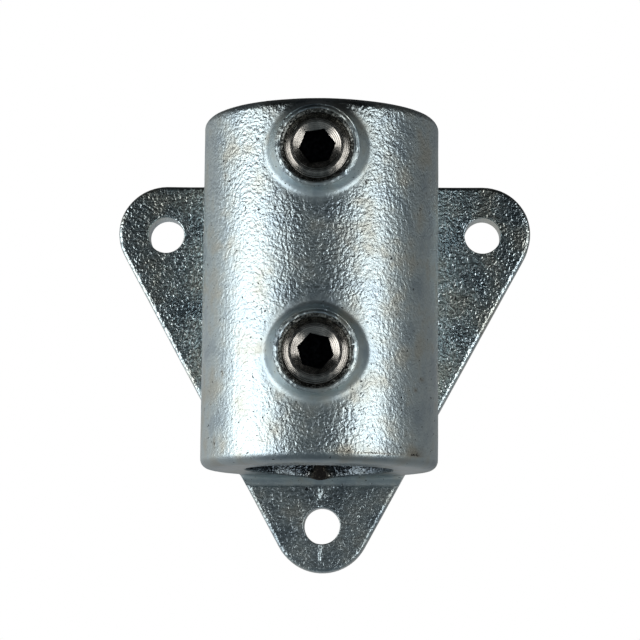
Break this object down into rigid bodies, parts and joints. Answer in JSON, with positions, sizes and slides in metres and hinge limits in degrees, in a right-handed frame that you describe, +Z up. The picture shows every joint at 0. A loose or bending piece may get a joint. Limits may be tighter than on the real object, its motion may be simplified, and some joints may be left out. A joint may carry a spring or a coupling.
{
  "type": "stanchion base",
  "caption": "Side-fixed stanchion base: a cast tube socket with a lipped bottom on a rounded triangular wall plate, gripped by hexagon set screws.",
  "frame": {"origin": "on the wall face, in its middle, level with the socket's bottom rim", "axes": "+X right as seen from the front, +Y into the wall, +Z up along the socket"},
  "size_m": [0.111, 0.063, 0.1159],
  "materials": {
    "zinc_coated_iron": "hot-dip zinc over a sand-cast skin, bright and pebbled",
    "blackened_steel": "blackened and oiled, with bright turned chamfers"
  },
  "bodies": {
    "base": {"socket_casting": "zinc_coated_iron"},
    "upper_screw": {"upper_set_screw": "blackened_steel"},
    "lower_screw": {"lower_set_screw": "blackened_steel"}
  },
  "joints": [
    {"name": "upper_screw_travel", "type": "slide", "parent": "base", "child": "upper_screw", "axis": [0, 1, 0], "range_m": [-0.00401, 0.00134]},
    {"name": "lower_screw_travel", "type": "slide", "parent": "base", "child": "lower_screw", "axis": [0, 1, 0], "range_m": [-0.00401, 0.00134]}
  ]
}
